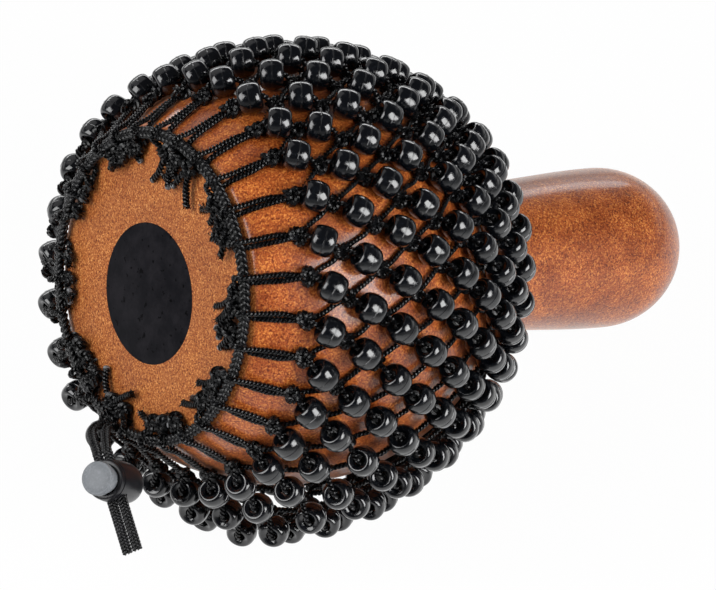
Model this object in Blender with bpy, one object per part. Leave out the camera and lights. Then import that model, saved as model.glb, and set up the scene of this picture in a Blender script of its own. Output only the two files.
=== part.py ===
"""A gourd shaker in a loose beaded net, the instrument sold as a cabasa or shekere.

A hollow moulded gourd lies on its side, on its beads and on the end of its handle. Doubled cords
run from a drawstring round the flat base, over the bulb, to a collar cord round the neck. They are
knotted to each other into diamonds, and each diamond carries one bead. The drawstring's two ends
pass through a spring cord lock.

The gourd's axis is local Z, from the base at 0 towards the handle. All sizes are in millimetres.
"""
import math

import bmesh
import bpy
import numpy as np
from mathutils import Matrix, Vector

MM = 0.001

# Gourd: a long ball with a flat base, a short neck and a handle that swells to a rounded end.
BULB_RADIUS = 68.4          # round the axis
BULB_HALF_LENGTH = 76.0     # along the axis
BULB_HEIGHT = 52.0          # bulb centre above the base
BASE_CORNER_RADIUS = 6.0
NECK_RADIUS = 25.2
NECK_FILLET = 16.0
HANDLE_RADIUS = 27.9        # where the handle is widest
HANDLE_LENGTH = 60.0        # from the end of the neck fillet to the widest place
HANDLE_END = 30.0           # from the widest place to the tip
WALL = 3.0
PLATE_RADIUS = 34.0         # disc that closes the base
PLATE_PROUD = 0.4           # how far the disc stands out of the rim round it
FIT = 0.3                   # clearance between pieces that seat in each other
GOURD_SIDES = 30

# Net: columns of doubled cord, with one bead on each row.
BEAD_DIAMETER = 9.0
BEAD_LENGTH = 6.0
BEAD_SIDES = 6
BEAD_GAP = 0.4              # least gap between the beads of neighbouring cords
BEAD_SEAT = 0.35            # between a bead and the gourd
BEAD_RISE = 1.2             # the last row stands this much higher, where the cords crowd
COLUMN_SPACING = 16.0       # round the widest circle of beads
FIRST_KNOT = 80.0           # from the base axis to the first knots, along the bulb
ROW_PITCH = 12.4            # between the first two rows of knots
ROW_PITCH_LOSS = 0.3        # each later row is closer by this
NET_SAG = 14.5              # of the loose net off the gourd, at most
SAG_MIDDLE = 45.0           # where the first row hangs furthest off, in degrees from straight down
SAG_SWING = 0.3             # share of the rows over which that place moves to straight down
SAG_REACH = 105.0           # the net touches the gourd again this far to either side, in degrees
SAG_LOSS = 0.85             # share of the sag that is gone at the last row
FLOOR_DIP = 21.5            # of the gourd's axis to the floor that the loose net lies on, in degrees
FLOOR_REACH = 79.0          # from the bulb's centre down to that floor
NET_CORD = 1.7              # thickness of one net cord
KNOT_WIDTH = 3.4
KNOT_LENGTH = 2.2
KNOT_GAP = 0.35             # between the two halves of a knot that joins two columns
CORD_LIFT = 0.8             # underside of the knots above the gourd

# Drawstring round the base, with the tassels of the net's cords inside it.
DRAWSTRING_THICK = 2.0
DRAWSTRING_WIDE = 3.6
DRAWSTRING_ANGLE = 9.0      # place on the base's rounded corner, in degrees from the flat
TASSEL_KNOT_INSET = 6.6     # from the flat's edge in to the knots of the tassels
TASSEL_LENGTH = 6.0
CORD_GAP = 0.4              # between cords that cross

# Collar cord round the neck.
COLLAR_THICK = 2.0
COLLAR_WIDE = 2.6
COLLAR_ANGLE = 50.0         # place on the neck fillet, in degrees
COLLAR_KNOT_ANGLE = 70.0

# Cord lock on the drawstring's two ends.
TAIL_DIAMETER = 3.2
TAIL_SPACING = 3.6          # between the two ends where they lie side by side
TAIL_REACH = 24.0           # of each end past the lock's middle
LOCK_PLACE = (55.1, -27.8, -15.0)
TAIL_AZIMUTH = -58.0        # the ends run square to the gourd's axis, in degrees round it
LOCK_TILT = 30.0            # of the lock's axis from the gourd's axis
LOCK_DIAMETER = 13.0
LOCK_FLOOR = 1.6
LOCK_BORE = 9.6
PLUNGER_TRAVEL = 3.0
BUTTON_DIAMETER = 11.0
BUTTON_THICK = 2.2
LOCK_WEB = 2.0              # material beside the cord's slot in the body and in the plunger
SPRING_WIRE = 0.7
SPRING_TURNS = 4
SPRING_REST = 6.6           # length of the spring with the button out
LOCK_SIDES = 16


def clear_scene():
    for old in list(bpy.data.objects):
        bpy.data.objects.remove(old, do_unlink=True)


def make_material(name, colour, roughness, metallic=0.0):
    material = bpy.data.materials.new(name)
    material.use_nodes = True
    shader = material.node_tree.nodes["Principled BSDF"]
    shader.inputs["Base Color"].default_value = (*colour, 1.0)
    shader.inputs["Roughness"].default_value = roughness
    shader.inputs["Metallic"].default_value = metallic
    return material


def add_mesh(name, points, faces, material, parent, sharp=40.0):
    """One closed mesh from points in millimetres, with its faces turned outwards."""
    mesh = bpy.data.meshes.new(name)
    mesh.from_pydata([Vector(p) * MM for p in points], [], faces)
    shaper = bmesh.new()
    shaper.from_mesh(mesh)
    bmesh.ops.recalc_face_normals(shaper, faces=shaper.faces)
    shaper.to_mesh(mesh)
    shaper.free()
    mesh.materials.append(material)
    mesh.shade_smooth()
    mesh.set_sharp_from_angle(angle=math.radians(sharp))
    piece = bpy.data.objects.new(name, mesh)
    bpy.context.scene.collection.objects.link(piece)
    piece.parent = parent
    return piece


def turned(outline, sides):
    """A solid turned round local Z. The outline is (radius, height); radius 0 closes on the axis."""
    points, faces, rings = [], [], []
    for radius, height in outline:
        if radius == 0.0:
            rings.append([len(points)] * sides)
            points.append((0.0, 0.0, height))
            continue
        rings.append(list(range(len(points), len(points) + sides)))
        for side in range(sides):
            turn = 2 * math.pi * side / sides
            points.append((radius * math.cos(turn), radius * math.sin(turn), height))
    loops = list(zip(rings, rings[1:]))
    if outline[0][0] > 0.0:
        loops.append((rings[-1], rings[0]))
    for low, high in loops:
        for side in range(sides):
            after = (side + 1) % sides
            corners = (low[side], low[after], high[after], high[side])
            face = tuple(dict.fromkeys(corners))
            if len(face) > 2:
                faces.append(face)
    return points, faces


# The gourd's surface. A place on it is (radius, height, normal's radius part, normal's height part).
# Base corner, bulb and neck are drawn as arcs of circles, and are then squeezed towards the axis.

flat_level = PLATE_PROUD
squeeze = BULB_RADIUS / BULB_HALF_LENGTH
corner_centre_height = flat_level + BASE_CORNER_RADIUS
corner_reach = BULB_HALF_LENGTH - BASE_CORNER_RADIUS
corner_centre_radius = math.sqrt(corner_reach ** 2 - (BULB_HEIGHT - corner_centre_height) ** 2)
corner_end = math.atan2(corner_centre_radius, BULB_HEIGHT - corner_centre_height)
fillet_reach = BULB_HALF_LENGTH + NECK_FILLET
fillet_centre_radius = NECK_RADIUS / squeeze + NECK_FILLET
neck_height = BULB_HEIGHT + math.sqrt(fillet_reach ** 2 - fillet_centre_radius ** 2)
fillet_start = math.asin(fillet_centre_radius / fillet_reach)
widest_height = neck_height + HANDLE_LENGTH


def on_flat(radius):
    return radius, flat_level, 0.0, -1.0


def squeezed(radius, height, side, up):
    length = math.hypot(side / squeeze, up)
    return radius * squeeze, height, side / squeeze / length, up / length


def on_corner(angle):
    side, down = math.sin(angle), math.cos(angle)
    return squeezed(corner_centre_radius + BASE_CORNER_RADIUS * side,
                    corner_centre_height - BASE_CORNER_RADIUS * down, side, -down)


def on_bulb(angle):
    side, down = math.sin(angle), math.cos(angle)
    return squeezed(BULB_HALF_LENGTH * side, BULB_HEIGHT - BULB_HALF_LENGTH * down, side, -down)


def on_neck(angle):
    side, down = math.sin(angle), math.cos(angle)
    return squeezed(fillet_centre_radius - NECK_FILLET * side, neck_height - NECK_FILLET * down, side, down)


def on_handle(share):
    swell = share * share * (3.0 - 2.0 * share)
    radius = NECK_RADIUS + (HANDLE_RADIUS - NECK_RADIUS) * swell
    return radius, neck_height + HANDLE_LENGTH * share, 1.0, 0.0


def on_end(angle):
    side, out = math.cos(angle), math.sin(angle)
    length = math.hypot(side / HANDLE_RADIUS, out / HANDLE_END)
    return (HANDLE_RADIUS * side, widest_height + HANDLE_END * out,
            side / HANDLE_RADIUS / length, out / HANDLE_END / length)


def spread(start, end, count):
    return [start + (end - start) * step / count for step in range(count + 1)]


def gourd_places():
    """The outside from the flat's edge to just before the tip, without doubled places."""
    places = [on_corner(a) for a in spread(0.0, corner_end, 2)]
    places += [on_bulb(a) for a in spread(corner_end, math.pi - fillet_start, 8)[1:]]
    places += [on_neck(a) for a in spread(fillet_start, math.pi / 2, 3)[1:]]
    places += [on_handle(s) for s in spread(0.0, 1.0, 2)[1:]]
    places += [on_end(a) for a in spread(0.0, math.pi / 2, 4)[1:-1]]
    return places


def add_gourd(material, parent):
    """The moulded shell, hollow, with a round hole in its flat base."""
    places = gourd_places()
    hole = PLATE_RADIUS + FIT
    tip = widest_height + HANDLE_END
    outside = [(hole, flat_level)] + [(r, z) for r, z, _, _ in places] + [(0.0, tip)]
    inner = [(r - WALL * side, z - WALL * up) for r, z, side, up in places[1::3]]
    inside = [(0.0, tip - WALL)] + inner[::-1] + [(hole, flat_level + WALL)]
    points, faces = turned(outside + inside, GOURD_SIDES)
    return add_mesh("gourd_shell", points, faces, material, parent)


def add_base_plate(material, parent):
    """The disc glued into the base, with a small bevel round its outer face."""
    bevel = PLATE_PROUD
    outline = [(0.0, 0.0), (PLATE_RADIUS - bevel, 0.0), (PLATE_RADIUS, bevel),
               (PLATE_RADIUS, flat_level + WALL), (0.0, flat_level + WALL)]
    points, faces = turned(outline, GOURD_SIDES)
    return add_mesh("base_plate", points, faces, material, parent)


# The net's lattice. Knots of odd rows belong to one column, knots of even rows join two columns.

bead_lift = BEAD_SEAT + BEAD_DIAMETER / 2
bead_radius = BULB_RADIUS + bead_lift
columns = round(2 * math.pi * bead_radius / COLUMN_SPACING)
column_step = 2 * math.pi / columns


def knot_row_angles():
    """Angles of the rows of knots from the base's axis, as far as beads still pass each other."""
    angles = [FIRST_KNOT / BULB_HALF_LENGTH]
    last_angle = math.pi - fillet_start
    pitch = ROW_PITCH
    while pitch > BEAD_LENGTH:
        following = angles[-1] + pitch / BULB_HALF_LENGTH
        radius, _, side, _ = on_bulb((angles[-1] + following) / 2)
        across = column_step / 2 * (radius + bead_lift * side)
        along = pitch * bead_radius / BULB_RADIUS
        strand_spacing = 2 * across * along / math.hypot(across, along)
        if strand_spacing < BEAD_DIAMETER + BEAD_GAP or following > last_angle:
            break
        angles.append(following)
        pitch -= ROW_PITCH_LOSS
    return angles


row_angles = knot_row_angles()
rows = len(row_angles) - 1


def net_sag(azimuth, angle):
    """How far the net hangs off the gourd. Where it would reach the floor, it lies on it."""
    share = (angle - row_angles[0]) / (row_angles[-1] - row_angles[0])
    middle = math.radians(SAG_MIDDLE) * max(0.0, 1.0 - share / SAG_SWING)
    turn = math.remainder(azimuth - middle, 2 * math.pi) / math.radians(SAG_REACH)
    if abs(turn) > 1.0:
        return 0.0
    sag = NET_SAG * math.cos(turn * math.pi / 2) ** 2 * (1.0 - SAG_LOSS * share ** 2)
    radius, height, side, up = on_bulb(angle)
    across, along = math.cos(math.radians(FLOOR_DIP)), math.sin(math.radians(FLOOR_DIP))
    drop = across * math.cos(azimuth) * side + along * up
    depth = across * math.cos(azimuth) * radius + along * (height - BULB_HEIGHT)
    if drop > 0.0:
        room = (FLOOR_REACH - BEAD_DIAMETER / 2 - depth) / drop - bead_lift
        sag = min(sag, max(room, 0.0))
    return sag


def surface_point(place, azimuth, north=0.0, east=0.0, lift=0.0):
    """A point above the gourd, moved towards the handle, round the axis and off the surface."""
    radius, height, side, up = place
    outward = Vector((math.cos(azimuth), math.sin(azimuth), 0.0))
    axis = Vector((0.0, 0.0, 1.0))
    around = axis.cross(outward)
    normal = outward * side + axis * up
    ahead = axis * side - outward * up
    return outward * radius + axis * height + ahead * north + around * east + normal * lift


class CordMesh:
    """Points and faces of one doubled cord. A section of cord is (top, left, right)."""

    def __init__(self):
        self.points = []
        self.faces = []

    def point(self, place):
        self.points.append(Vector(place))
        return len(self.points) - 1

    def section(self, place, azimuth, north=0.0, east=0.0, lift=CORD_LIFT, width=NET_CORD):
        return (self.point(surface_point(place, azimuth, north, east, lift + NET_CORD)),
                self.point(surface_point(place, azimuth, north, east - width / 2, lift)),
                self.point(surface_point(place, azimuth, north, east + width / 2, lift)))

    def knot(self, place, azimuth, width=KNOT_WIDTH, length=KNOT_LENGTH, lift=CORD_LIFT):
        """A four-sided knot. Each side is the section of the cord that leaves there."""
        top = self.point(surface_point(place, azimuth, lift=lift + NET_CORD))
        north = self.point(surface_point(place, azimuth, length / 2, 0.0, lift))
        east = self.point(surface_point(place, azimuth, 0.0, width / 2, lift))
        south = self.point(surface_point(place, azimuth, -length / 2, 0.0, lift))
        west = self.point(surface_point(place, azimuth, 0.0, -width / 2, lift))
        self.faces += [(north, east, south), (north, south, west)]
        return {"ne": (top, north, east), "nw": (top, west, north),
                "se": (top, south, east), "sw": (top, west, south)}

    def tube(self, *sections):
        for first, second in zip(sections, sections[1:]):
            for side in range(3):
                after = (side + 1) % 3
                self.faces.append((first[side], first[after], second[after]))
                self.faces.append((first[side], second[after], second[side]))

    def cap(self, section):
        self.faces.append(section)

    def ring(self, centre, right, up, radius, count, start):
        turns = [start + 2 * math.pi * step / count for step in range(count)]
        places = [centre + (right * math.cos(t) + up * math.sin(t)) * radius for t in turns]
        return [self.point(p) for p in places]

    def bead_end(self, rim, section, start):
        """The bead's end face, from its rim to the cord in its hole. Both run round the same way."""
        hole = (section[0], section[1], section[2])
        hole_turns = [math.pi / 2, math.pi * 7 / 6, math.pi * 11 / 6]
        rim_turns = [start + 2 * math.pi * step / len(rim) for step in range(len(rim))]
        first = min(range(len(rim)), key=lambda k: abs(rim_turns[k] - hole_turns[0]))
        rim_at, hole_at = 0, 0
        while rim_at < len(rim) or hole_at < 3:
            here = rim[(first + rim_at) % len(rim)]
            inner = hole[hole_at % 3]
            rim_next = 2 * math.pi * (rim_at + 0.5) / len(rim)
            hole_next = 2 * math.pi * (hole_at + 0.5) / 3
            if hole_at == 3 or (rim_at < len(rim) and rim_next <= hole_next):
                rim_at += 1
                self.faces.append((here, rim[(first + rim_at) % len(rim)], inner))
            else:
                hole_at += 1
                self.faces.append((here, hole[hole_at % 3], inner))

    def bead(self, before, after, angle, azimuth, lift):
        """A bead threaded half-way between two sections of cord."""
        place = on_bulb(angle)
        centre = surface_point(place, azimuth, lift=lift)
        normal = (surface_point(place, azimuth, lift=1.0) - surface_point(place, azimuth)).normalized()
        run = sum((self.points[i] for i in after), Vector()) - sum((self.points[i] for i in before), Vector())
        along = (run - normal * run.dot(normal)).normalized()
        right = along.cross(normal)
        half = along * BEAD_LENGTH / 2
        hole = NET_CORD / 2
        twist = math.pi / BEAD_SIDES
        ends = []
        for shift, start in ((-half, math.pi / 2), (half, math.pi / 2 + twist)):
            rim = self.ring(centre + shift, right, normal, BEAD_DIAMETER / 2, BEAD_SIDES, start)
            top, left, other = self.ring(centre + shift, right, normal, hole, 3, math.pi / 2)
            section = (top, left, other)
            self.bead_end(rim, section, start)
            ends.append((rim, section))
        (near, near_section), (far, far_section) = ends
        for step in range(BEAD_SIDES):
            later = (step + 1) % BEAD_SIDES
            self.faces.append((near[step], near[later], far[step]))
            self.faces.append((near[later], far[later], far[step]))
        self.tube(before, near_section)
        self.tube(far_section, after)


# Cords that cross at the drawstring and at the collar: one leg passes under, one over.
under_lift = CORD_LIFT
under_collar_lift = CORD_LIFT * 0.75
drawstring_lift = under_lift + NET_CORD + CORD_GAP
over_drawstring_lift = drawstring_lift + DRAWSTRING_THICK + CORD_GAP
collar_lift = under_lift + NET_CORD + CORD_GAP
over_collar_lift = collar_lift + COLLAR_THICK + CORD_GAP
drawstring_edge = DRAWSTRING_WIDE / 2 + CORD_GAP / 2
collar_edge = COLLAR_WIDE / 2 + CORD_GAP / 2
drawstring_place = on_corner(math.radians(DRAWSTRING_ANGLE))
collar_place = on_neck(math.radians(COLLAR_ANGLE))
collar_knot_place = on_neck(math.radians(COLLAR_KNOT_ANGLE))
leg_apart = NET_CORD * 0.6      # of each of the two legs from the middle of its column
cross_under = NET_CORD * 0.65   # the same where they pass under and over the drawstring
cross_over = NET_CORD * 0.5
tassel_knot_radius = corner_centre_radius * squeeze - TASSEL_KNOT_INSET
shoulder_place = on_bulb(corner_end)


def half_knot(cord, angle, azimuth, side):
    """Half of the knot that joins this column to the next one, on its east or west side."""
    place = on_bulb(angle)
    width = KNOT_WIDTH / 2
    room = column_step / 2 * (place[0] + CORD_LIFT) - KNOT_GAP / 2 - width / 2
    lift = CORD_LIFT + net_sag(azimuth + side * column_step / 2, angle)
    return cord.section(place, azimuth + side * room / (place[0] + CORD_LIFT), lift=lift, width=width)


def add_column(index, material, parent):
    cord = CordMesh()
    # The lowest row rests on two columns, so a bead of that row is half a step to either side of down.
    azimuth = column_step * (index + 0.75)
    quarter = column_step / 4

    first = cord.knot(on_bulb(row_angles[0]), azimuth, lift=CORD_LIFT + net_sag(azimuth, row_angles[0]))
    tassel = cord.knot(on_flat(tassel_knot_radius), azimuth, lift=CORD_LIFT)
    cord.tube(tassel["ne"],
              cord.section(drawstring_place, azimuth, 0.0, cross_under, under_lift),
              cord.section(shoulder_place, azimuth, 0.0, leg_apart, under_lift),
              first["se"])
    cord.tube(tassel["nw"],
              cord.section(drawstring_place, azimuth, -drawstring_edge, -cross_over, over_drawstring_lift),
              cord.section(drawstring_place, azimuth, drawstring_edge, -cross_over, over_drawstring_lift),
              cord.section(shoulder_place, azimuth, 0.0, -leg_apart, 2 * under_lift),
              first["sw"])
    tip = on_flat(tassel_knot_radius - TASSEL_LENGTH)
    right_end = cord.section(tip, azimuth, 0.0, leg_apart)
    left_end = cord.section(tip, azimuth, 0.0, -leg_apart)
    top, south, east = tassel["se"]
    _, west, _ = tassel["sw"]
    cord.tube((top, south, east), right_end)
    cord.tube((top, west, south), left_end)
    cord.cap(right_end)
    cord.cap(left_end)

    right, left = first["ne"], first["nw"]
    for row in range(rows):
        start, end = row_angles[row], row_angles[row + 1]
        middle = (start + end) / 2
        lift = bead_lift + BEAD_RISE * row / (rows - 1)
        if row % 2 == 0:
            east_half = half_knot(cord, end, azimuth, 1)
            west_half = half_knot(cord, end, azimuth, -1)
            bead_azimuth = azimuth + quarter
            cord.bead(right, east_half, middle, bead_azimuth, lift + net_sag(bead_azimuth, middle))
            cord.tube(left, west_half)
            right, left = east_half, west_half
        else:
            own = cord.knot(on_bulb(end), azimuth, lift=CORD_LIFT + net_sag(azimuth, end))
            bead_azimuth = azimuth - quarter
            cord.bead(left, own["sw"], middle, bead_azimuth, lift + net_sag(bead_azimuth, middle))
            cord.tube(right, own["se"])
            right, left = own["ne"], own["nw"]

    collar_knot = cord.knot(collar_knot_place, azimuth, width=KNOT_WIDTH * 0.8)
    cord.tube(right,
              cord.section(collar_place, azimuth, -collar_edge, leg_apart, over_collar_lift),
              cord.section(collar_place, azimuth, collar_edge, leg_apart, over_collar_lift),
              collar_knot["se"])
    cord.tube(left,
              cord.section(collar_place, azimuth, 0.0, -leg_apart, under_collar_lift),
              collar_knot["sw"])
    cord.cap(collar_knot["ne"])
    cord.cap(collar_knot["nw"])
    name = "bead_column_%02d" % (index + 1)
    return add_mesh(name, cord.points, cord.faces, material, parent, sharp=50.0)


def flat_ring(place, lift, thick, wide, start, end, steps):
    """A flat cord laid round the gourd, closed if it runs a whole turn."""
    closed = end - start > 2 * math.pi - 1e-6
    points, faces = [], []
    corners = ((-wide / 2, lift), (wide / 2, lift), (wide / 2, lift + thick), (-wide / 2, lift + thick))
    stations = steps if closed else steps + 1
    for step in range(stations):
        azimuth = start + (end - start) * step / steps
        points += [surface_point(place, azimuth, north=n, lift=up) for n, up in corners]
    for step in range(steps):
        low, high = 4 * step, 4 * ((step + 1) % stations)
        for side in range(4):
            after = (side + 1) % 4
            faces.append((low + side, low + after, high + after, high + side))
    if not closed:
        faces += [(0, 1, 2, 3), tuple(4 * steps + k for k in range(4))]
    return points, faces


def add_collar(material, parent):
    points, faces = flat_ring(collar_place, collar_lift, COLLAR_THICK, COLLAR_WIDE, 0.0, 2 * math.pi, columns)
    return add_mesh("neck_collar", points, faces, material, parent)


# The drawstring is open between two columns of the net, where its ends turn out to the lock.
exit_azimuth = column_step * -0.75 - cross_over / 2 / drawstring_place[0]
tail_half_angle = TAIL_SPACING / 2 / drawstring_place[0]
drawstring_middle = drawstring_lift + DRAWSTRING_THICK / 2


def add_drawstring(material, parent):
    end_gap = tail_half_angle + (TAIL_DIAMETER / 2 + FIT) / drawstring_place[0]
    points, faces = flat_ring(drawstring_place, drawstring_lift, DRAWSTRING_THICK, DRAWSTRING_WIDE,
                              exit_azimuth + end_gap, exit_azimuth + 2 * math.pi - end_gap, columns)
    return add_mesh("drawstring", points, faces, material, parent)


# The lock's own frame: X across the two cords, Y along them, Z towards the button.
tail_run = Vector((math.cos(math.radians(TAIL_AZIMUTH)), math.sin(math.radians(TAIL_AZIMUTH)), 0.0))
lean = Vector((tail_run.y, -tail_run.x, 0.0))
lock_axis = Vector((0.0, 0.0, -math.cos(math.radians(LOCK_TILT)))) + lean * math.sin(math.radians(LOCK_TILT))
lock_across = tail_run.cross(lock_axis)
slot_half_height = TAIL_DIAMETER / 2 + FIT
slot_half_width = (TAIL_SPACING + TAIL_DIAMETER) / 2 + FIT
plunger_low = -slot_half_height - LOCK_WEB
chamber_floor = plunger_low - SPRING_REST - 2 * FIT
body_low = chamber_floor - LOCK_FLOOR
plunger_slot_top = slot_half_height + PLUNGER_TRAVEL
body_top = plunger_slot_top
button_low = body_top + PLUNGER_TRAVEL + FIT
button_top = button_low + BUTTON_THICK


def smooth_route(points, steps):
    """A curve through the points of a cord's route."""
    route = []
    ends = [points[0] * 2 - points[1]] + points + [points[-1] * 2 - points[-2]]
    for a, b, c, d in zip(ends, ends[1:], ends[2:], ends[3:]):
        for step in range(steps):
            t = step / steps
            route.append(0.5 * (2 * b + (c - a) * t + (2 * a - 5 * b + 4 * c - d) * t * t
                                + (3 * b - a - 3 * c + d) * t ** 3))
    return route + [points[-1]]


def add_tail(name, side, bend, material, parent):
    """One end of the drawstring, from the ring through the lock to its cut end."""
    line = Vector(LOCK_PLACE) + lock_across * side * TAIL_SPACING / 2
    start = surface_point(drawstring_place, exit_azimuth + side * tail_half_angle, lift=drawstring_middle)
    entry = LOCK_DIAMETER / 2 + 1.0
    knots = [start, start + Vector(bend), line - tail_run * (entry + TAIL_DIAMETER),
             line - tail_run * entry, line + tail_run * 2.0, line + tail_run * TAIL_REACH]
    curve = bpy.data.curves.new(name, "CURVE")
    curve.dimensions = "3D"
    curve.bevel_depth = TAIL_DIAMETER / 2 * MM
    curve.bevel_resolution = 2
    curve.use_fill_caps = True
    spline = curve.splines.new("POLY")
    route = smooth_route(knots, 2)
    spline.points.add(len(route) - 1)
    for point, place in zip(spline.points, route):
        point.co = (*(place * MM), 1.0)
    curve.materials.append(material)
    piece = bpy.data.objects.new(name, curve)
    bpy.context.scene.collection.objects.link(piece)
    piece.parent = parent
    return piece


def add_slot(name, low, high, parent):
    """A cutter for the slot that both cords pass through, with round ends."""
    round_radius = (TAIL_DIAMETER + 2 * FIT) / 2
    flat = slot_half_width - round_radius
    upper, lower = high - round_radius, low + round_radius
    corners = ((flat, lower, 3), (flat, upper, 0), (-flat, upper, 1), (-flat, lower, 2))
    outline = []
    for centre_x, centre_z, quarter in corners:
        for turn in spread(quarter * math.pi / 2, (quarter + 1) * math.pi / 2, 2):
            place = (centre_x + round_radius * math.cos(turn), centre_z + round_radius * math.sin(turn))
            if not outline or math.dist(place, outline[-1]) > 1e-6:
                outline.append(place)
    length = LOCK_DIAMETER
    count = len(outline)
    points = [(x, y, z) for y in (-length, length) for x, z in outline]
    faces = [tuple(range(count)), tuple(range(count, 2 * count))]
    faces += [(k, (k + 1) % count, count + (k + 1) % count, count + k) for k in range(count)]
    cutter = add_mesh(name, points, faces, None, parent)
    cutter.hide_render = True
    cutter.display_type = "WIRE"
    return cutter


def cut(piece, cutter):
    boolean = piece.modifiers.new("cord slot", "BOOLEAN")
    boolean.operation = "DIFFERENCE"
    boolean.object = cutter


def add_lock(body_material, button_material, spring_material, parent):
    """A barrel with a cross slot, the sprung plunger in it and the spring below the plunger."""
    edge = 0.8
    radius = LOCK_DIAMETER / 2
    bore = LOCK_BORE / 2
    body_outline = [(0.0, body_low), (radius - edge, body_low), (radius, body_low + edge),
                    (radius, body_top - edge), (radius - edge, body_top),
                    (bore, body_top), (bore, chamber_floor), (0.0, chamber_floor)]
    body = add_mesh("lock_body", *turned(body_outline, LOCK_SIDES), body_material, parent)
    cut(body, add_slot("body_slot", -slot_half_height, slot_half_height, parent))

    stem = bore - FIT
    button = BUTTON_DIAMETER / 2
    plunger_outline = [(0.0, plunger_low), (stem, plunger_low), (stem, button_low), (button, button_low),
                       (button, button_top - edge), (button - edge, button_top), (0.0, button_top)]
    plunger = add_mesh("lock_plunger", *turned(plunger_outline, LOCK_SIDES), button_material, parent)
    cut(plunger, add_slot("plunger_slot", -slot_half_height, plunger_slot_top, parent))

    add_spring(chamber_floor + FIT, spring_material, parent)


def add_spring(low, material, parent):
    """An open coil of one wire, standing on the floor of the barrel."""
    points_per_turn = 8
    wire = SPRING_WIRE / 2
    coil = LOCK_BORE / 2 - 2 * FIT - SPRING_WIRE
    rise = SPRING_REST - SPRING_WIRE
    steps = SPRING_TURNS * points_per_turn
    middle = []
    for step in range(steps + 1):
        turn = 2 * math.pi * step / points_per_turn
        height = low + wire + rise * step / steps
        middle.append(Vector((coil * math.cos(turn), coil * math.sin(turn), height)))
    points, faces = [], []
    for step, place in enumerate(middle):
        outward = Vector((place.x, place.y, 0.0)).normalized()
        for turn in (0.0, 2 * math.pi / 3, 4 * math.pi / 3):
            points.append(place + outward * wire * math.cos(turn) + Vector((0.0, 0.0, wire * math.sin(turn))))
    for step in range(steps):
        for side in range(3):
            after = (side + 1) % 3
            faces.append((3 * step + side, 3 * step + after, 3 * step + 3 + after, 3 * step + 3 + side))
    faces += [(0, 1, 2), tuple(3 * steps + k for k in range(3))]
    add_mesh("lock_spring", points, faces, material, parent)
    least = min((middle[a] - middle[b]).length for a in range(steps + 1)
                for b in range(a + points_per_turn // 2, steps + 1)) - SPRING_WIRE
    print("lock_spring least gap to itself, mm: %.2f" % least)


def rest_on_floor(root, gourd, net):
    """Lean the part until its beads and its handle both touch the floor, then centre it there."""
    def heights(pieces, dip):
        down = np.array((-math.cos(dip), 0.0, -math.sin(dip)))
        return min((np.array([v.co for v in p.data.vertices]) @ down).min() for p in pieces)

    low, high = 0.0, math.pi / 3
    for _ in range(60):
        dip = (low + high) / 2
        if heights(net, dip) < heights([gourd], dip):
            low = dip
        else:
            high = dip
    root.rotation_euler = (0.0, math.pi / 2 + dip, 0.0)
    turn = Matrix.Rotation(math.pi / 2 + dip, 3, "Y")
    corners = np.array([turn @ v.co for p in [gourd] + net for v in p.data.vertices])
    middle = (corners.min(axis=0) + corners.max(axis=0)) / 2
    root.location = (-middle[0], -middle[1], -corners[:, 2].min())
    print("dip of the handle, degrees: %.3f" % math.degrees(dip))


def build():
    clear_scene()
    lacquer = make_material("lacquered fibreglass", (0.50, 0.16, 0.03), 0.3)
    base_lacquer = make_material("base fibreglass", (0.55, 0.22, 0.06), 0.5)
    bead_black = make_material("bead black", (0.008, 0.008, 0.009), 0.12)
    cord_black = make_material("cord black", (0.012, 0.012, 0.013), 0.8)
    lock_black = make_material("lock black", (0.02, 0.02, 0.022), 0.45)
    button_grey = make_material("button grey", (0.10, 0.10, 0.10), 0.5)
    steel = make_material("spring steel", (0.55, 0.55, 0.55), 0.3, 1.0)

    root = bpy.data.objects.new("gourd_axis", None)
    bpy.context.scene.collection.objects.link(root)
    gourd = add_gourd(lacquer, root)
    add_base_plate(base_lacquer, root)
    net = [add_column(index, bead_black, root) for index in range(columns)]
    collar = add_collar(cord_black, root)
    drawstring = add_drawstring(cord_black, root)
    add_tail("drawstring_tail_a", 1, (0.3, -2.1, -9.0), cord_black, root)
    add_tail("drawstring_tail_b", -1, (-1.5, -1.6, -6.2), cord_black, root)

    lock_frame = bpy.data.objects.new("lock_axis", None)
    bpy.context.scene.collection.objects.link(lock_frame)
    lock_frame.parent = root
    facing = Matrix((lock_across, tail_run, lock_axis)).transposed().to_4x4()
    lock_frame.matrix_local = Matrix.Translation(Vector(LOCK_PLACE) * MM) @ facing
    add_lock(lock_black, button_grey, steel, lock_frame)

    rest_on_floor(root, gourd, net + [collar, drawstring])
    print("columns: %d, rows: %d" % (columns, rows))


build()
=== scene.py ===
import math
import random

import bmesh
import bpy
import numpy as np
from mathutils import Matrix, Vector


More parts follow.
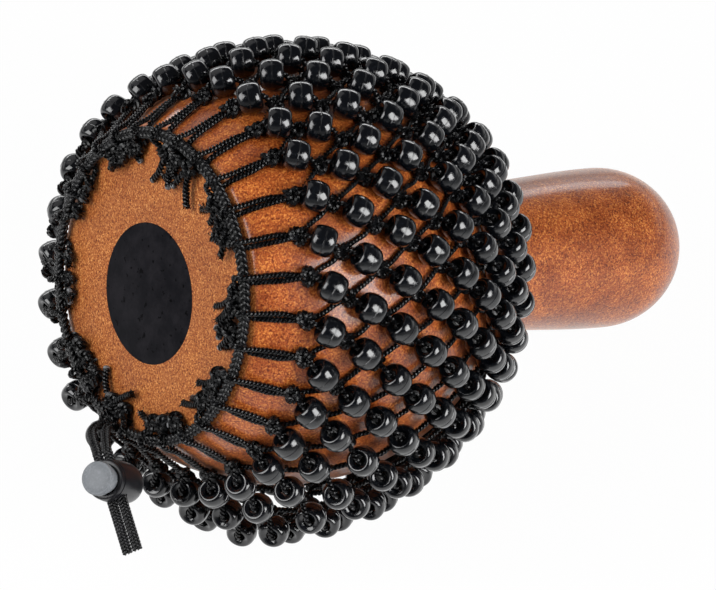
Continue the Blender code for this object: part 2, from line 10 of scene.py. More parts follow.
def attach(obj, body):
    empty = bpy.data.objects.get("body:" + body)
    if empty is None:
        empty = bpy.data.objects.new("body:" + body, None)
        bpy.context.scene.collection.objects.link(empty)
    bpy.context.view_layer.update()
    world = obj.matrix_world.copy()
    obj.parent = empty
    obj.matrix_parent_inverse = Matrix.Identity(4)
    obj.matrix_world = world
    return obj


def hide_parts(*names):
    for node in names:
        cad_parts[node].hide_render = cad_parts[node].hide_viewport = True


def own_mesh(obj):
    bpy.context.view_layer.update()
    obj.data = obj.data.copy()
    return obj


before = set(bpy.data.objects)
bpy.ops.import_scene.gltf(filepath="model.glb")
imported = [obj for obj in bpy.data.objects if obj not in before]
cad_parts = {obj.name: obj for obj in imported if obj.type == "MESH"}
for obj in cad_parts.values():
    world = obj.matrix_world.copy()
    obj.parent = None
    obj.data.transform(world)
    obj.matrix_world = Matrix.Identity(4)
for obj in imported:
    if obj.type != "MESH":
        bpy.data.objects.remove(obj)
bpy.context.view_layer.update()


# The gourd is a hollow ball, neck and handle, moulded in one from chopped glass fibre and tinted resin.
# The fibres show as fine orange and brown specks. It is sprayed with a semi-gloss lacquer that keeps
# a slight orange peel. Sizes are in millimetres along its own axis, from the middle of the base.

MM = 0.001
GOURD_TURN = np.array(Matrix.Rotation(math.radians(111.88538), 3, "Y"))
BASE_CENTRE = np.array((-0.091846, -0.000037, 0.100063))
BULB_RADIUS = 68.4
BULB_HALF_LENGTH = 76.0
BULB_HEIGHT = 52.0
CORNER_RADIUS = 6.0
FLAT_LEVEL = 0.4
NECK_RADIUS = 25.2
NECK_FILLET = 16.0
HANDLE_RADIUS = 27.9
HANDLE_LENGTH = 60.0
HANDLE_END = 30.0
HOLE_RADIUS = 34.02
HOLE_DEPTH = 3.4
RIM_RUN = 10.0
RIM_FINISH_HEIGHT = 1.2
GOURD_SIDES = 144

squeeze = BULB_RADIUS / BULB_HALF_LENGTH
corner_height = FLAT_LEVEL + CORNER_RADIUS
corner_radius = math.sqrt((BULB_HALF_LENGTH - CORNER_RADIUS) ** 2 - (BULB_HEIGHT - corner_height) ** 2)
corner_end = math.atan2(corner_radius, BULB_HEIGHT - corner_height)
fillet_reach = BULB_HALF_LENGTH + NECK_FILLET
fillet_radius = NECK_RADIUS / squeeze + NECK_FILLET
neck_height = BULB_HEIGHT + math.sqrt(fillet_reach ** 2 - fillet_radius ** 2)
fillet_start = math.asin(fillet_radius / fillet_reach)
handle_height = neck_height + HANDLE_LENGTH


def in_place(points):
    """Points of the gourd's own frame, in millimetres, where the part lies, in metres."""
    return np.asarray(points, float) * MM @ GOURD_TURN.T + BASE_CENTRE


def on_flat(radius):
    """A place on the flat of the base: radius, height and normal."""
    return radius, FLAT_LEVEL, 0.0, -1.0


def squeezed(radius, height, side, up):
    """A place on an arc of a circle, squeezed towards the axis: radius, height and normal."""
    length = math.hypot(side / squeeze, up)
    return radius * squeeze, height, side / squeeze / length, up / length


def on_corner(angle):
    side, down = math.sin(angle), math.cos(angle)
    return squeezed(corner_radius + CORNER_RADIUS * side, corner_height - CORNER_RADIUS * down, side, -down)


def on_bulb(angle):
    side, down = math.sin(angle), math.cos(angle)
    return squeezed(BULB_HALF_LENGTH * side, BULB_HEIGHT - BULB_HALF_LENGTH * down, side, -down)


def on_neck(angle):
    side, down = math.sin(angle), math.cos(angle)
    return squeezed(fillet_radius - NECK_FILLET * side, neck_height - NECK_FILLET * down, side, down)


def ease(share):
    """A soft start and a soft end between 0 and 1."""
    return share ** 2 * (3 - 2 * share)


def steps(count):
    """The ends of that many even steps from 0 to 1."""
    return [k / count for k in range(1, count + 1)]


def lathe(outline, sides):
    """A closed solid turned round Z from (radius, height) pairs. Radius 0 closes on the axis."""
    points, faces, rings = [], [], []
    for radius, height in outline:
        if radius == 0.0:
            rings.append([len(points)] * sides)
            points.append((0.0, 0.0, height))
            continue
        rings.append(range(len(points), len(points) + sides))
        turns = [2 * math.pi * side / sides for side in range(sides)]
        points += [(radius * math.cos(t), radius * math.sin(t), height) for t in turns]
    loops = list(zip(rings, rings[1:]))
    if outline[0][0] > 0.0:
        loops.append((rings[-1], rings[0]))
    for low, high in loops:
        for side in range(sides):
            after = (side + 1) % sides
            face = tuple(dict.fromkeys((low[side], low[after], high[after], high[side])))
            if len(face) > 2:
                faces.append(face)
    return np.array(points), faces


def turn_outwards(mesh):
    """Turns the faces of a closed mesh outwards."""
    shaper = bmesh.new()
    shaper.from_mesh(mesh)
    bmesh.ops.recalc_face_normals(shaper, faces=shaper.faces)
    shaper.to_mesh(mesh)
    shaper.free()


def add_piece(name, points, faces, materials, body, sharp=40.0, finish_of=None):
    """A mesh piece that rides on a body, with its faces turned outwards."""
    mesh = bpy.data.meshes.new(name)
    mesh.from_pydata([tuple(p) for p in points], [], [tuple(f) for f in faces])
    for material in materials:
        mesh.materials.append(material)
    if finish_of is not None:
        mesh.polygons.foreach_set("material_index", finish_of)
    turn_outwards(mesh)
    mesh.shade_smooth()
    mesh.set_sharp_from_angle(angle=math.radians(sharp))
    piece = bpy.data.objects.new(name, mesh)
    bpy.context.scene.collection.objects.link(piece)
    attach(piece, body)
    return piece


def put(tree, kind, inputs=None, **settings):
    """A shader node with its settings, and with values or links on its inputs."""
    made = tree.nodes.new(kind)
    for name, value in settings.items():
        setattr(made, name, value)
    for name, value in (inputs or {}).items():
        if isinstance(value, bpy.types.NodeSocket):
            tree.links.new(value, made.inputs[name])
        else:
            made.inputs[name].default_value = value
    return made


def new_group(name, inputs, outputs):
    """A shader node group. Inputs are (name, kind, value), outputs are (name, kind)."""
    group = bpy.data.node_groups.new(name, "ShaderNodeTree")
    for label, kind, value in inputs:
        group.interface.new_socket(label, in_out="INPUT", socket_type=kind).default_value = value
    for label, kind in outputs:
        group.interface.new_socket(label, in_out="OUTPUT", socket_type=kind)
    return group, group.nodes.new("NodeGroupInput").outputs, group.nodes.new("NodeGroupOutput").inputs


def new_material(name):
    material = bpy.data.materials.new(name)
    material.use_nodes = True
    return material, material.node_tree, material.node_tree.nodes["Principled BSDF"]


def remap(tree, value, low, high, to_low=0.0, to_high=1.0):
    """Spreads a range of a value over another, with soft ends."""
    made = put(tree, "ShaderNodeMapRange", {"Value": value, "From Min": low, "From Max": high,
                                            "To Min": to_low, "To Max": to_high},
               interpolation_type="SMOOTHSTEP")
    return made.outputs["Result"]


def mix_colour(tree, share, first, second, blend="MIX"):
    made = put(tree, "ShaderNodeMix", data_type="RGBA", blend_type=blend)
    for socket, value in ((made.inputs[0], share), (made.inputs[6], first), (made.inputs[7], second)):
        if isinstance(value, bpy.types.NodeSocket):
            tree.links.new(value, socket)
        else:
            socket.default_value = value
    return made.outputs[2]


def noise(tree, spot, scale, detail, roughness=0.5, distortion=0.0):
    """Uneven cloud noise over a surface, from 0 to 1."""
    made = put(tree, "ShaderNodeTexNoise", {"Vector": spot, "Scale": scale, "Detail": detail,
                                            "Roughness": roughness, "Distortion": distortion})
    return made.outputs["Fac"]


def add_bump(tree, shader, height, strength, distance):
    made = put(tree, "ShaderNodeBump", {"Strength": strength, "Distance": distance, "Height": height})
    tree.links.new(made.outputs["Normal"], shader.inputs["Normal"])


FLOAT, COLOUR = "NodeSocketFloat", "NodeSocketColor"
STAIN_SCALE = 62.0
STAIN_DEPTH = 0.7
CLOUD_DARK = (0.65, 0.55, 0.49, 1.0)
CLOUD_LIGHT = (1.15, 1.20, 1.10, 1.0)
PEEL_DEPTH = 0.0003

speckle, given, result = new_group(
    "fibre_speckle",
    [("Speck Scale", FLOAT, 1100.0), ("Cloud Scale", FLOAT, 45.0), ("Dark", COLOUR, (0.2, 0.05, 0.01, 1.0)),
     ("Middle", COLOUR, (0.4, 0.13, 0.03, 1.0)), ("Light", COLOUR, (0.6, 0.25, 0.08, 1.0)),
     ("Stain", COLOUR, (0.1, 0.03, 0.01, 1.0)), ("Cloud Depth", FLOAT, 0.8)],
    [("Colour", COLOUR), ("Height", FLOAT), ("Cloud", FLOAT)])
spot = put(speckle, "ShaderNodeTexCoord").outputs["Object"]
specks = noise(speckle, spot, given["Speck Scale"], 2.0, 0.6, 0.7)
clouds = noise(speckle, spot, given["Cloud Scale"], 4.0, 0.6, 0.3)
stains = noise(speckle, spot, STAIN_SCALE, 5.0, 0.75)
dark_share = remap(speckle, specks, 0.34, 0.50)
light_share = remap(speckle, specks, 0.50, 0.68)
cloud_share = remap(speckle, clouds, 0.35, 0.68)
stain_share = remap(speckle, stains, 0.66, 0.74, 0.0, STAIN_DEPTH)
lower = mix_colour(speckle, dark_share, given["Dark"], given["Middle"])
upper = mix_colour(speckle, light_share, lower, given["Light"])
shade = mix_colour(speckle, cloud_share, CLOUD_DARK, CLOUD_LIGHT)
clouded = mix_colour(speckle, given["Cloud Depth"], upper, shade, "MULTIPLY")
speckle.links.new(mix_colour(speckle, stain_share, clouded, given["Stain"]), result["Colour"])
speckle.links.new(specks, result["Height"])
speckle.links.new(cloud_share, result["Cloud"])

lacquer, tree, shader = new_material("speckled lacquer")
grain = put(tree, "ShaderNodeGroup", {"Speck Scale": 1500.0, "Cloud Scale": 85.0,
                                      "Dark": (0.148, 0.026, 0.005, 1.0),
                                      "Middle": (0.370, 0.080, 0.015, 1.0),
                                      "Light": (0.635, 0.230, 0.054, 1.0),
                                      "Stain": (0.080, 0.022, 0.008, 1.0)}, node_tree=speckle)
# Painted light: the base colour is made paler near the base, standing in for more light falling there. Metres
# along the axis.
PAINTED_LIGHT_FULL_TO = 0.03
PAINTED_LIGHT_GONE_AT = 0.08
PAINTED_LIGHT_TINT = (1.16, 1.15, 1.07, 1.0)
spot = put(tree, "ShaderNodeTexCoord").outputs["Object"]
from_base = put(tree, "ShaderNodeVectorMath", {0: spot, 1: Vector(BASE_CENTRE)}, operation="SUBTRACT")
along = put(tree, "ShaderNodeVectorMath", {0: from_base.outputs[0], 1: Vector(GOURD_TURN[:, 2])},
            operation="DOT_PRODUCT").outputs["Value"]
painted_light_fade = remap(tree, along, PAINTED_LIGHT_FULL_TO, PAINTED_LIGHT_GONE_AT)
# Painted light: a paler tint near the base, which fades out further along the axis.
painted_light = mix_colour(tree, painted_light_fade, PAINTED_LIGHT_TINT, (1.0, 1.0, 1.0, 1.0))
painted_lit_colour = mix_colour(tree, 1.0, grain.outputs["Colour"], painted_light, "MULTIPLY")
tree.links.new(painted_lit_colour, shader.inputs["Base Color"])
tree.links.new(remap(tree, grain.outputs["Cloud"], 0.0, 1.0, 0.36, 0.46), shader.inputs["Roughness"])
add_bump(tree, shader, grain.outputs["Height"], 0.45, PEEL_DEPTH)
shader.inputs["Specular IOR Level"].default_value = 0.30
shader.inputs["Sheen Weight"].default_value = 0.30
shader.inputs["Sheen Roughness"].default_value = 0.35
shader.inputs["Sheen Tint"].default_value = (1.0, 0.72, 0.56, 1.0)
shader.inputs["Coat Weight"].default_value = 0.6
shader.inputs["Coat Roughness"].default_value = 0.15

base_lacquer, tree, shader = new_material("base lacquer")
grain = put(tree, "ShaderNodeGroup", {"Speck Scale": 1700.0, "Cloud Depth": 0.35,
                                      "Dark": (0.150, 0.028, 0.005, 1.0),
                                      "Middle": (0.430, 0.118, 0.024, 1.0),
                                      "Light": (0.740, 0.325, 0.098, 1.0),
                                      "Stain": (0.200, 0.070, 0.030, 1.0)}, node_tree=speckle)
tree.links.new(grain.outputs["Colour"], shader.inputs["Base Color"])
tree.links.new(remap(tree, grain.outputs["Cloud"], 0.0, 1.0, 0.50, 0.62), shader.inputs["Roughness"])
add_bump(tree, shader, grain.outputs["Height"], 0.35, PEEL_DEPTH)
shader.inputs["Specular IOR Level"].default_value = 0.3

bulb_end = math.pi - fillet_start
gourd_outline = [(0.0, HOLE_DEPTH), (HOLE_RADIUS, HOLE_DEPTH), (HOLE_RADIUS, 0.0)]
gourd_outline += [(HOLE_RADIUS + RIM_RUN * share, FLAT_LEVEL * ease(share)) for share in steps(8)]
gourd_outline += [on_corner(corner_end * share)[:2] for share in [0.0] + steps(10)]
gourd_outline += [on_bulb(corner_end + (bulb_end - corner_end) * share)[:2] for share in steps(56)]
gourd_outline += [on_neck(fillet_start + (math.pi / 2 - fillet_start) * share)[:2] for share in steps(12)]
for share in steps(24):
    radius = NECK_RADIUS + (HANDLE_RADIUS - NECK_RADIUS) * ease(share)
    gourd_outline.append((radius, neck_height + HANDLE_LENGTH * share))
for share in steps(20)[:-1]:
    rise = math.pi / 2 * share
    gourd_outline.append((HANDLE_RADIUS * math.cos(rise), handle_height + HANDLE_END * math.sin(rise)))
gourd_outline.append((0.0, handle_height + HANDLE_END))
points, faces = lathe(gourd_outline, GOURD_SIDES)
rim_faces = [sum(points[k][2] for k in face) / len(face) < RIM_FINISH_HEIGHT for face in faces]
gourd = add_piece("gourd", in_place(points), faces, [lacquer, base_lacquer], "gourd",
                  finish_of=[int(rim) for rim in rim_faces])
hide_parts("gourd_shell")


# The base is a disc of the same fibre and resin, glued into the rim of the bulb and rubbed down, so that
# it is duller and its grain is closer. A round film of satin black ink is printed on its middle and left
# bare. It is a little grey, with deep black flecks where the ink lies thick.

PLATE_RADIUS = 34.0
PLATE_DEPTH = 3.4
PRINT_RADIUS = 22.8
PRINT_THICK = 0.08
PRINT_EDGE = 0.1
PRINT_SINK = 0.05
PRINT_CENTRE = (3.8, 1.4, 0.0)
PRINT_SIDES = 96

plate_outline = [(0.0, 0.0)] + [(PLATE_RADIUS * share, 0.0) for share in steps(8)]
plate_outline += [(PLATE_RADIUS, PLATE_DEPTH), (0.0, PLATE_DEPTH)]
points, faces = lathe(plate_outline, GOURD_SIDES)
base = add_piece("base_disc", in_place(points), faces, [base_lacquer], "gourd")
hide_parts("base_plate")

ink, tree, shader = new_material("printed black ink")
spot = put(tree, "ShaderNodeTexCoord").outputs["Object"]
pores = noise(tree, spot, 420.0, 2.0)
wear = noise(tree, spot, 120.0, 5.0, 0.7)
flecks = remap(tree, pores, 0.64, 0.69)
worn = mix_colour(tree, remap(tree, wear, 0.35, 0.70), (0.007, 0.007, 0.009, 1.0), (0.017, 0.016, 0.019, 1.0))
tree.links.new(mix_colour(tree, flecks, worn, (0.001, 0.001, 0.0015, 1.0)), shader.inputs["Base Color"])
tree.links.new(remap(tree, wear, 0.3, 0.7, 0.42, 0.58), shader.inputs["Roughness"])
add_bump(tree, shader, pores, 0.25, 0.0002)
shader.inputs["Specular IOR Level"].default_value = 0.03

print_outline = [(0.0, -PRINT_THICK), (PRINT_RADIUS - PRINT_EDGE, -PRINT_THICK),
                 (PRINT_RADIUS, -PRINT_THICK / 2), (PRINT_RADIUS, PRINT_SINK), (0.0, PRINT_SINK)]
points, faces = lathe(print_outline, PRINT_SIDES)
add_piece("base_print", in_place(points + np.array(PRINT_CENTRE)), faces, [ink], "gourd")


# The net is 29 doubled cords of black twisted polyester, knotted to each other into diamonds. Every row
# of diamonds has one moulded bead of gloss black polystyrene on each cord, nine rows in all. The cords
# loop over the drawstring at the base, where their ends are knotted and cut, and end on a neck collar.

COLUMNS = 29
COLUMN_START = 0.75
FIRST_KNOT = 80.0
ROW_PITCH = 12.4
ROW_PITCH_LOSS = 0.3
ROWS = 9
NET_SAG = 14.5
SAG_MIDDLE = math.radians(45.0)
SAG_SWING = 0.3
SAG_REACH = math.radians(105.0)
SAG_LOSS = 0.85
FIRST_SAG = 0.46
FIRST_SAG_TURN = 0.27
FLOOR_DIP = math.radians(21.5)
FLOOR_REACH = 79.0
NET_CORD = 1.9
LEG_GIRTH = 1.04
BEAD_DIAMETER = 9.9
BEAD_LENGTH = 7.6
BEAD_HOLE = 3.5
BEAD_SEAM = 0.11
BEAD_LIP_RADIUS = 3.2
BEAD_LIFT = 4.95
BEAD_RISE = 1.2
BEAD_SLIP = 0.6
BEAD_DROOP = 0.9
BEAD_ROCK = 0.16
BEAD_SIDES = 36
KNOT_SIZE = 1.75
KNOT_HEIGHT = 0.85
KNOT_CORD = 1.8
KNOT_LIFT = 1.7
KNOT_SHIFT = 0.9
KNOT_STAND = 0.2
FIRST_KNOT_GIRTH = 1.25
KNOT_GIRTH = 1.15
COLLAR_KNOT_GIRTH = 0.8
DRAWSTRING_LIFT = 2.9
DRAWSTRING_THICK = 2.0
DRAWSTRING_PLACE = on_corner(math.radians(9.0))
COLLAR_PLACE = on_neck(math.radians(50.0))
COLLAR_KNOT_PLACE = on_neck(math.radians(70.0))
TASSEL_KNOT_RADIUS = corner_radius * squeeze - 3.6
BUNCH_REACH = (4.5, 1.8, 1.5, 4.0, 10.5, 6.0, 11.0, 11.0, 7.5, 10.0)
BUNCH_SHIFT = 3.6
PLIES = 3
CORD_CREASE = 60.0

column_step = 2 * math.pi / COLUMNS
knot_angles = [FIRST_KNOT / BULB_HALF_LENGTH]
for row in range(ROWS):
    knot_angles.append(knot_angles[-1] + (ROW_PITCH - ROW_PITCH_LOSS * row) / BULB_HALF_LENGTH)
chance = random.Random(31)
DOWN = -GOURD_TURN[2]
bulb_centre = np.array((0.0, 0.0, BULB_HEIGHT))


def net_sag(azimuth, angle):
    """How far the loose net hangs off the gourd. Where it would reach the floor, it lies on it."""
    share = (angle - knot_angles[0]) / (knot_angles[-1] - knot_angles[0])
    middle = SAG_MIDDLE * max(0.0, 1.0 - share / SAG_SWING)
    turn = math.remainder(azimuth - middle, 2 * math.pi) / SAG_REACH
    if abs(turn) > 1.0:
        return 0.0
    sag = NET_SAG * math.cos(turn * math.pi / 2) ** 2 * (1.0 - SAG_LOSS * share ** 2)
    # The drawstring pulls the first rows in, and less so on one side.
    first = FIRST_SAG + FIRST_SAG_TURN * math.sin(azimuth)
    sag *= first + (1.0 - first) * min(1.0, share / SAG_SWING)
    radius, height, side, up = on_bulb(angle)
    across, along = math.cos(FLOOR_DIP) * math.cos(azimuth), math.sin(FLOOR_DIP)
    drop = across * side + along * up
    depth = across * radius + along * (height - BULB_HEIGHT)
    if drop > 0.0:
        sag = min(sag, max((FLOOR_REACH - BEAD_DIAMETER / 2 - depth) / drop - BEAD_LIFT, 0.0))
    return sag


def axes_at(place, azimuth):
    """Directions towards the handle, round the axis and off the surface."""
    outward = np.array((math.cos(azimuth), math.sin(azimuth), 0.0))
    axis = np.array((0.0, 0.0, 1.0))
    side, up = place[2], place[3]
    return axis * side - outward * up, np.cross(axis, outward), outward * side + axis * up


def surface_point(place, azimuth, north=0.0, east=0.0, lift=0.0):
    """A point above the gourd, moved towards the handle, round the axis and off the surface."""
    ahead, around, normal = axes_at(place, azimuth)
    foot = np.array((place[0] * math.cos(azimuth), place[0] * math.sin(azimuth), place[1]))
    return foot + ahead * north + around * east + normal * lift


def smooth_line(points, spacing, closed=False):
    """A smooth line through the points, with its places evenly spaced."""
    points = np.asarray(points, float)
    if closed:
        padded = np.vstack((points[-1:], points, points[:2]))
    else:
        padded = np.vstack((2 * points[:1] - points[1:2], points, 2 * points[-1:] - points[-2:-1]))
    steps = np.linspace(0.0, 1.0, 8, endpoint=False)[:, None]
    pieces = []
    for a, b, c, d in zip(padded, padded[1:], padded[2:], padded[3:]):
        pieces.append(0.5 * (2 * b + (c - a) * steps + (2 * a - 5 * b + 4 * c - d) * steps ** 2
                             + (3 * b - a - 3 * c + d) * steps ** 3))
    dense = np.vstack(pieces + [padded[-2:-1]])
    lengths = np.concatenate(([0.0], np.cumsum(np.linalg.norm(np.diff(dense, axis=0), axis=1))))
    count = max(3, int(round(lengths[-1] / spacing)))
    where = np.linspace(0.0, lengths[-1], count + 1)
    line = np.column_stack([np.interp(where, lengths, dense[:, k]) for k in range(3)])
    return line[:-1] if closed else line


def unit(vectors):
    return vectors / np.maximum(np.linalg.norm(vectors, axis=-1, keepdims=True), 1e-9)


def sweep(line, facing, section, turns, closed=False, girth=1.0):
    """A closed skin along a line. The section has its own turn and its own girth at each place."""
    if closed:
        tangent = unit(np.roll(line, -1, axis=0) - np.roll(line, 1, axis=0))
    else:
        tangent = unit(np.gradient(line, axis=0))
    right = unit(np.cross(tangent, facing))
    up = np.cross(right, tangent)
    cos, sin = (np.cos(turns) * girth)[:, None], (np.sin(turns) * girth)[:, None]
    x = section[:, 0] * cos - section[:, 1] * sin
    y = section[:, 0] * sin + section[:, 1] * cos
    points = line[:, None, :] + x[..., None] * right[:, None, :] + y[..., None] * up[:, None, :]
    count, sides = len(line), len(section)
    faces = []
    for step in range(count if closed else count - 1):
        low, high = step * sides, (step + 1) % count * sides
        faces += [(low + k, low + (k + 1) % sides, high + (k + 1) % sides, high + k) for k in range(sides)]
    if not closed:
        faces += [tuple(range(sides)), tuple(range((count - 1) * sides, count * sides))]
    return points.reshape(-1, 3), faces


def ply_section(thick):
    """Outline of a cord of twisted plies, with a groove between each two."""
    outline = []
    for ply in range(PLIES):
        for turn, reach in ((-0.5, 0.5), (-0.2, 1.0), (0.2, 1.0)):
            angle = 2 * math.pi * (ply + turn) / PLIES
            outline.append((thick / 2 * reach * math.cos(angle), thick / 2 * reach * math.sin(angle)))
    return np.array(outline)


def twisted_cord(points, thick, spacing=0.55, lay=3.9, closed=False, full_to=None):
    """A twisted cord through the points, fuller up to one of them. A ply goes round once in each lay."""
    line = smooth_line(points, spacing, closed)
    facing = unit(line - bulb_centre)
    length = np.linalg.norm(np.diff(line, axis=0), axis=1).sum() + (spacing if closed else 0.0)
    rounds = max(1, round(length / lay))
    turns = np.linspace(0.0, 2 * math.pi * rounds, len(line), endpoint=not closed)
    girth = np.ones(len(line))
    if full_to is not None:
        girth[:np.linalg.norm(line - full_to, axis=1).argmin()] = LEG_GIRTH
    return sweep(line, facing, ply_section(thick), turns, closed, girth)


class Heap:
    """Points and faces gathered into one mesh, with the number of each face's finish."""

    def __init__(self):
        self.points, self.faces, self.finish, self.count = [], [], [], 0

    def add(self, skin, finish=0):
        points, faces = skin
        self.points.append(points)
        self.faces += [tuple(k + self.count for k in face) for face in faces]
        self.finish += [finish] * len(faces)
        self.count += len(points)


def overhand_knot():
    """The tightened loop of an overhand knot, round its own middle."""
    turn = np.linspace(0.0, 2 * math.pi, 40, endpoint=False)
    line = np.column_stack((KNOT_SIZE * (np.sin(turn) + 2 * np.sin(2 * turn)) / 2.4,
                            KNOT_SIZE * (np.cos(turn) - 2 * np.cos(2 * turn)) / 2.4,
                            -KNOT_HEIGHT * np.sin(3 * turn)))
    facing = np.tile((0.0, 0.0, 1.0), (len(line), 1))
    return sweep(line, facing, ply_section(KNOT_CORD), 4 * turn, True)


def moulded_bead():
    """A bead along X from a two-part mould: a barrel with a seam round its middle and dished ends."""
    half, reach, hole = BEAD_LENGTH / 2, BEAD_DIAMETER / 2, BEAD_HOLE / 2
    side = [(0.10, reach + BEAD_SEAM), (0.22, reach)]
    for share in steps(12):
        turn = math.radians(84.0) * share
        radius = BEAD_LIP_RADIUS + (reach - BEAD_LIP_RADIUS) * math.cos(turn)
        side.append((half * math.sin(turn) ** 0.8, radius))
    side += [(half, BEAD_LIP_RADIUS - 0.1), (half - 0.18, BEAD_LIP_RADIUS - 0.45),
             (half - 0.4, hole + 0.35), (half - 0.75, hole), (half - 1.4, hole)]
    outline = [(radius, -place) for place, radius in reversed(side)]
    outline += [(radius, place) for place, radius in side]
    points, faces = lathe(outline, BEAD_SIDES)
    return points[:, (2, 0, 1)], faces


bead_skin = moulded_bead()
knot_skin = overhand_knot()


def set_down(skin, centre, along, normal, spin=0.0, size=1.0):
    """A skin moved to a place, with its X along a direction and its Z near the normal."""
    along = unit(np.asarray(along))
    across = unit(np.cross(normal, along))
    up = np.cross(along, across)
    turned = across * math.cos(spin) + up * math.sin(spin)
    points, faces = skin
    return centre + size * points @ np.array((along, turned, np.cross(along, turned))), faces


knots = {}
for row, angle in enumerate(knot_angles):
    for index in range(COLUMNS):
        shared = 0.5 if row % 2 else 0.0
        north = chance.uniform(-KNOT_SHIFT, KNOT_SHIFT)
        east = chance.uniform(-KNOT_SHIFT, KNOT_SHIFT)
        azimuth = column_step * (index + COLUMN_START + shared)
        knots[row, index] = (on_bulb(angle), azimuth, north, east, net_sag(azimuth, angle))


def knot_point(row, index, lift=KNOT_LIFT):
    place, azimuth, north, east, sag = knots[row, index % COLUMNS]
    return surface_point(place, azimuth, north, east, lift + sag)


moulded, given, result = new_group(
    "moulded_finish", [("Grain Scale", FLOAT, 2500.0), ("Scuff Scale", FLOAT, 300.0)],
    [("Height", FLOAT), ("Scuff", FLOAT)])
spot = put(moulded, "ShaderNodeTexCoord").outputs["Object"]
moulded.links.new(noise(moulded, spot, given["Grain Scale"], 2.0), result["Height"])
scuffs = noise(moulded, spot, given["Scuff Scale"], 5.0, 0.75, 1.5)
moulded.links.new(remap(moulded, scuffs, 0.45, 0.75), result["Scuff"])

bead_black, tree, shader = new_material("gloss black bead")
scuff = put(tree, "ShaderNodeGroup", {"Scuff Scale": 420.0}, node_tree=moulded).outputs["Scuff"]
shades = mix_colour(tree, scuff, (0.0018, 0.0023, 0.0034, 1.0), (0.0055, 0.0070, 0.0100, 1.0))
tree.links.new(shades, shader.inputs["Base Color"])
tree.links.new(remap(tree, scuff, 0.0, 1.0, 0.09, 0.22), shader.inputs["Roughness"])
add_bump(tree, shader, scuff, 0.12, 0.0002)
shader.inputs["IOR"].default_value = 1.59
shader.inputs["Coat Weight"].default_value = 0.4
shader.inputs["Coat Roughness"].default_value = 0.10

yarn, given, result = new_group(
    "spun_yarn",
    [("Fibre Scale", FLOAT, 2600.0), ("Fade Scale", FLOAT, 240.0),
     ("Deep", COLOUR, (0.006, 0.006, 0.007, 1.0)), ("Pale Glint", COLOUR, (0.03, 0.03, 0.032, 1.0))],
    [("Colour", COLOUR), ("Height", FLOAT)])
spot = put(yarn, "ShaderNodeTexCoord").outputs["Object"]
fibres = noise(yarn, spot, given["Fibre Scale"], 3.0, 0.7, 1.2)
fade = noise(yarn, spot, given["Fade Scale"], 3.0)
both = put(yarn, "ShaderNodeMath", {0: fibres, 1: fade}, operation="MULTIPLY").outputs[0]
# The pale flecks are partly paler fibres and partly painted glints, where fibres would catch the light.
pale_glint_share = remap(yarn, both, 0.22, 0.42)
yarn.links.new(mix_colour(yarn, pale_glint_share, given["Deep"], given["Pale Glint"]), result["Colour"])
yarn.links.new(fibres, result["Height"])


def yarn_material(name, deep, pale, roughness):
    """Black polyester yarn, with its own shades and painted fibre glints, and its own sheen."""
    material, tree, shader = new_material(name)
    threads = put(tree, "ShaderNodeGroup", {"Deep": (*deep, 1.0), "Pale Glint": (*pale, 1.0)}, node_tree=yarn)
    tree.links.new(threads.outputs["Colour"], shader.inputs["Base Color"])
    tree.links.new(remap(tree, threads.outputs["Height"], 0.3, 0.7, roughness - 0.1, roughness + 0.1),
                   shader.inputs["Roughness"])
    add_bump(tree, shader, threads.outputs["Height"], 0.35, 0.0002)
    shader.inputs["Specular IOR Level"].default_value = 0.42
    return material


net_yarn = yarn_material("twisted net cord", (0.0012, 0.0012, 0.0015), (0.012, 0.013, 0.015), 0.21)

melted, tree, shader = new_material("melted cord end")
finish = put(tree, "ShaderNodeGroup", node_tree=moulded)
tree.links.new(mix_colour(tree, finish.outputs["Scuff"], (0.10, 0.10, 0.105, 1.0), (0.50, 0.51, 0.52, 1.0)),
               shader.inputs["Base Color"])
tree.links.new(remap(tree, finish.outputs["Height"], 0.3, 0.7, 0.25, 0.5), shader.inputs["Roughness"])


# Places of a cord at the drawstring, on the corner behind it and at the collar. Each is a move towards
# the handle, round the axis and off the gourd. One cord of a column goes under, the other over.
over = DRAWSTRING_LIFT + DRAWSTRING_THICK + 1.0
UNDER_DRAWSTRING = ((-2.4, 0.8, 1.0), (1.6, 0.9, 0.95))
OVER_DRAWSTRING = ((-2.2, -0.8, over - 1.2), (-0.4, -0.9, over), (2.0, -0.9, over - 1.0))
LOW_ON_CORNER = (0.0, 0.85, 1.2)
HIGH_ON_CORNER = (0.0, -0.9, 2.1)
OVER_COLLAR = ((-1.8, 1.0, 5.6), (1.2, 1.0, 6.0))
UNDER_COLLAR = ((0.0, -1.0, 1.5),)
LEG_HANG = 0.45
LEG_SPREAD = 0.95
LEG_LIFT = 1.4


